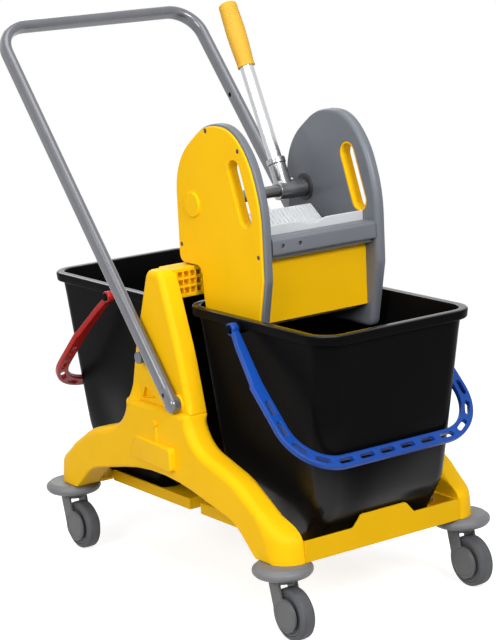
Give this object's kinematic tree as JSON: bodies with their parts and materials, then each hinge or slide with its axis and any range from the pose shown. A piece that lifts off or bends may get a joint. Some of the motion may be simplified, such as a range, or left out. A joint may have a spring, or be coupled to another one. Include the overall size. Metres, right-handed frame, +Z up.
{
  "type": "double mop bucket trolley",
  "caption": "Push trolley on swivel casters that carries a front and a rear mop bucket with swinging bails, a lever press wringer and a folding push handle.",
  "frame": {"origin": "on the floor under the middle of the overall length and width, push handle included", "axes": "+X to the front, the end with the wringer; +Y to the left of someone who pushes it; +Z up"},
  "size_m": [0.757, 0.411, 0.8461],
  "materials": {
    "yellow_plastic": "satin moulded plastic",
    "black_plastic": "satin moulded plastic",
    "grey_plastic": "satin moulded plastic",
    "pale_grey_plastic": "satin moulded plastic",
    "dark_plastic": "matt moulded plastic",
    "blue_plastic": "semi-gloss moulded plastic",
    "red_plastic": "semi-gloss moulded plastic",
    "handle_paint": "semi-gloss powder coat",
    "grey_tyre": "matt rubber tread",
    "zinc_steel": "zinc plated",
    "lever_metal": "drawn tube, lightly brushed"
  },
  "bodies": {
    "chassis": {"base_tray": "yellow_plastic", "side_frame_right": "yellow_plastic", "side_frame_left": "yellow_plastic", "tower_right": "yellow_plastic", "tower_left": "yellow_plastic", "frame_screws": "zinc_steel", "pivot_pins": "zinc_steel", "handle_stops": "grey_plastic", "front_right_bumper": "grey_plastic", "front_right_stem": "zinc_steel", "front_left_bumper": "grey_plastic", "front_left_stem": "zinc_steel", "rear_right_bumper": "grey_plastic", "rear_right_stem": "zinc_steel", "rear_left_bumper": "grey_plastic", "rear_left_stem": "zinc_steel"},
    "push_handle": {"handle_tube": "handle_paint", "knuckle_right": "grey_plastic", "knuckle_left": "grey_plastic", "knuckle_screws": "zinc_steel"},
    "front_bucket": {"front_bucket": "black_plastic"},
    "front_bail": {"front_bail": "blue_plastic"},
    "rear_bucket": {"rear_bucket": "black_plastic"},
    "rear_bail": {"rear_bail": "red_plastic"},
    "wringer": {"side_plate_right": "grey_plastic", "side_plate_left": "grey_plastic", "cover_right": "yellow_plastic", "cover_left": "yellow_plastic", "cover_screws": "zinc_steel", "front_bar": "grey_plastic", "front_panel": "yellow_plastic", "sieve": "pale_grey_plastic", "sieve_front": "pale_grey_plastic", "rear_tie_bar": "grey_plastic", "bush_right": "dark_plastic", "bush_left": "dark_plastic"},
    "lever": {"pivot_shaft": "zinc_steel", "lever_hub": "lever_metal", "lever_collar": "lever_metal", "lever_tube": "lever_metal", "lever_grip": "yellow_plastic", "press_jaw": "pale_grey_plastic", "hub_screw": "zinc_steel"},
    "caster_front_right": {"front_right_fork": "grey_plastic", "front_right_axle": "zinc_steel"},
    "wheel_front_right": {"front_right_hub": "grey_plastic", "front_right_tyre": "grey_tyre"},
    "caster_front_left": {"front_left_fork": "grey_plastic", "front_left_axle": "zinc_steel"},
    "wheel_front_left": {"front_left_hub": "grey_plastic", "front_left_tyre": "grey_tyre"},
    "caster_rear_right": {"rear_right_fork": "grey_plastic", "rear_right_axle": "zinc_steel"},
    "wheel_rear_right": {"rear_right_hub": "grey_plastic", "rear_right_tyre": "grey_tyre"},
    "caster_rear_left": {"rear_left_fork": "grey_plastic", "rear_left_axle": "zinc_steel"},
    "wheel_rear_left": {"rear_left_hub": "grey_plastic", "rear_left_tyre": "grey_tyre"}
  },
  "joints": [
    {"name": "push_handle_fold", "type": "hinge", "parent": "chassis", "child": "push_handle", "pos_m": [0.07148, 0, 0.2924], "axis": [0, 1, 0], "range_deg": [0, 120]},
    {"name": "front_bucket_lift", "type": "slide", "parent": "chassis", "child": "front_bucket", "axis": [0, 0, 1], "range_m": [0, 0.3]},
    {"name": "front_bail_swing", "type": "hinge", "parent": "front_bucket", "child": "front_bail", "pos_m": [0.18123, 0, 0.4154], "axis": [0, -1, 0], "range_deg": [0, 110]},
    {"name": "rear_bucket_lift", "type": "slide", "parent": "chassis", "child": "rear_bucket", "axis": [0, 0, 1], "range_m": [0, 0.2]},
    {"name": "rear_bail_swing", "type": "hinge", "parent": "rear_bucket", "child": "rear_bail", "pos_m": [-0.14227, 0, 0.4154], "axis": [0, 1, 0], "range_deg": [0, 130]},
    {"name": "wringer_lift", "type": "slide", "parent": "front_bucket", "child": "wringer", "axis": [0, 0, 1], "range_m": [0, 0.25]},
    {"name": "lever_press", "type": "hinge", "parent": "wringer", "child": "lever", "pos_m": [0.04448, 0, 0.5714], "axis": [0, 1, 0], "range_deg": [0, 50]},
    {"name": "front_right_swivel", "type": "hinge", "parent": "chassis", "child": "caster_front_right", "pos_m": [0.29648, -0.1625, 0.084], "axis": [0, 0, 1], "continuous": true},
    {"name": "front_right_roll", "type": "hinge", "parent": "caster_front_right", "child": "wheel_front_right", "pos_m": [0.31848, -0.1625, 0.0375], "axis": [0, 1, 0], "continuous": true},
    {"name": "front_left_swivel", "type": "hinge", "parent": "chassis", "child": "caster_front_left", "pos_m": [0.29648, 0.1625, 0.084], "axis": [0, 0, 1], "continuous": true},
    {"name": "front_left_roll", "type": "hinge", "parent": "caster_front_left", "child": "wheel_front_left", "pos_m": [0.31848, 0.1625, 0.0375], "axis": [0, 1, 0], "continuous": true},
    {"name": "rear_right_swivel", "type": "hinge", "parent": "chassis", "child": "caster_rear_right", "pos_m": [-0.25752, -0.1625, 0.084], "axis": [0, 0, 1], "continuous": true},
    {"name": "rear_right_roll", "type": "hinge", "parent": "caster_rear_right", "child": "wheel_rear_right", "pos_m": [-0.23552, -0.1625, 0.0375], "axis": [0, 1, 0], "continuous": true},
    {"name": "rear_left_swivel", "type": "hinge", "parent": "chassis", "child": "caster_rear_left", "pos_m": [-0.25752, 0.1625, 0.084], "axis": [0, 0, 1], "continuous": true},
    {"name": "rear_left_roll", "type": "hinge", "parent": "caster_rear_left", "child": "wheel_rear_left", "pos_m": [-0.23552, 0.1625, 0.0375], "axis": [0, 1, 0], "continuous": true}
  ]
}
